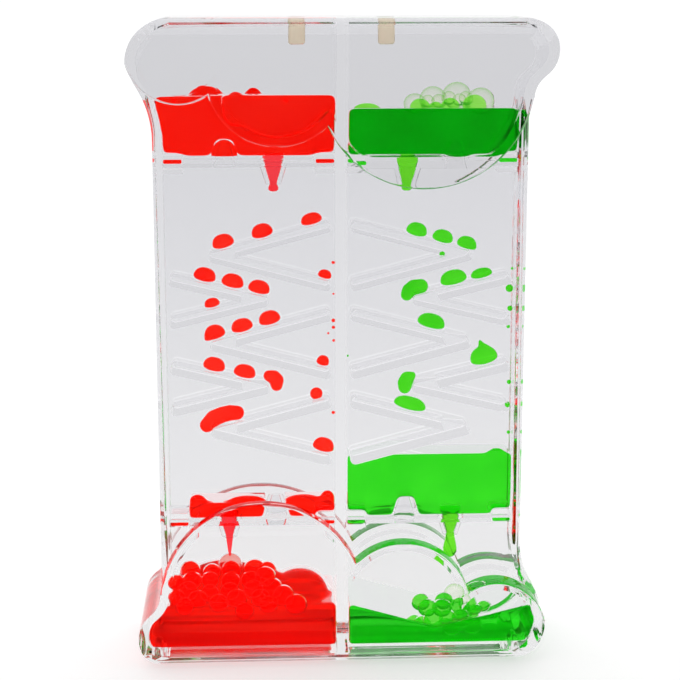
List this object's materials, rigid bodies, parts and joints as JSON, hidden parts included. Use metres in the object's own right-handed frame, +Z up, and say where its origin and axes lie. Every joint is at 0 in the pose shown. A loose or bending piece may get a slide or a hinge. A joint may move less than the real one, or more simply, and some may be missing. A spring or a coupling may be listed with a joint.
{
  "type": "liquid motion timer",
  "caption": "Clear flared case with sealed chambers side by side, where dyed liquid drips through nozzle plates and runs down zigzag ramps as drops; turned over to start again.",
  "frame": {"origin": "middle of the flat base, at table height", "axes": "+X to the right in the picture, +Y away from the camera through the case, +Z up"},
  "size_m": [0.088, 0.0308, 0.138],
  "materials": {
    "clear_case": "clear polished moulding",
    "clear_plate": "clear polished moulding",
    "plug": "soft beige plug",
    "red_liquid": "clear red dyed water",
    "green_liquid": "clear green dyed water",
    "red_bubbles": "unmerged red drops in oil",
    "green_bubbles": "unmerged green drops in oil"
  },
  "bodies": {
    "case": {"front_shell": "clear_case", "rear_shell": "clear_case", "red_fill_plug": "plug", "green_fill_plug": "plug", "lower_red_drip_plate": "clear_plate", "lower_green_drip_plate": "clear_plate", "upper_red_drip_plate": "clear_plate", "upper_green_drip_plate": "clear_plate", "upper_red_pool": "red_liquid", "middle_red_film": "red_liquid", "bottom_red_pool": "red_liquid", "upper_red_drip": "red_liquid", "lower_red_drip": "red_liquid", "upper_green_pool": "green_liquid", "middle_green_pool": "green_liquid", "bottom_green_pool": "green_liquid", "upper_green_drip": "green_liquid", "lower_green_drip": "green_liquid", "upper_red_bubbles": "red_bubbles", "upper_green_bubbles": "green_bubbles", "bottom_red_bubbles": "red_bubbles", "bottom_green_bubbles": "green_bubbles", "red_resting_drops": "red_liquid", "green_resting_drops": "green_liquid"},
    "red_drops_1": {"red_drops_1": "red_liquid"},
    "red_drops_2": {"red_drops_2": "red_liquid"},
    "red_drops_3": {"red_drops_3": "red_liquid"},
    "red_drops_4": {"red_drops_4": "red_liquid"},
    "red_drops_5": {"red_drops_5": "red_liquid"},
    "green_drops_1": {"green_drops_1": "green_liquid"},
    "green_drops_2": {"green_drops_2": "green_liquid"},
    "green_drops_3": {"green_drops_3": "green_liquid"},
    "green_drops_4": {"green_drops_4": "green_liquid"},
    "green_drops_5": {"green_drops_5": "green_liquid"}
  },
  "joints": [
    {"name": "red_run_1", "type": "slide", "parent": "case", "child": "red_drops_1", "axis": [-0.9671, 0, -0.2545], "range_m": [0, 0.0033]},
    {"name": "red_run_2", "type": "slide", "parent": "case", "child": "red_drops_2", "axis": [0.9729, 0, -0.2312], "range_m": [0, 0.0022]},
    {"name": "red_run_3", "type": "slide", "parent": "case", "child": "red_drops_3", "axis": [-0.9671, 0, -0.2545], "range_m": [0, 0.0016]},
    {"name": "red_run_4", "type": "slide", "parent": "case", "child": "red_drops_4", "axis": [0.9729, 0, -0.2312], "range_m": [0, 0.0015]},
    {"name": "red_run_5", "type": "slide", "parent": "case", "child": "red_drops_5", "axis": [-0.9671, 0, -0.2545], "range_m": [-0.009, 0.003]},
    {"name": "green_run_1", "type": "slide", "parent": "case", "child": "green_drops_1", "axis": [0.9671, 0, -0.2545], "range_m": [0, 0.0018]},
    {"name": "green_run_2", "type": "slide", "parent": "case", "child": "green_drops_2", "axis": [-0.9729, 0, -0.2312], "range_m": [0, 0.0017]},
    {"name": "green_run_3", "type": "slide", "parent": "case", "child": "green_drops_3", "axis": [0.9671, 0, -0.2545], "range_m": [-0.004, 0.0082]},
    {"name": "green_run_4", "type": "slide", "parent": "case", "child": "green_drops_4", "axis": [-0.9729, 0, -0.2312], "range_m": [0, 0.0017]},
    {"name": "green_run_5", "type": "slide", "parent": "case", "child": "green_drops_5", "axis": [0.9671, 0, -0.2545], "range_m": [0, 0.013]}
  ]
}
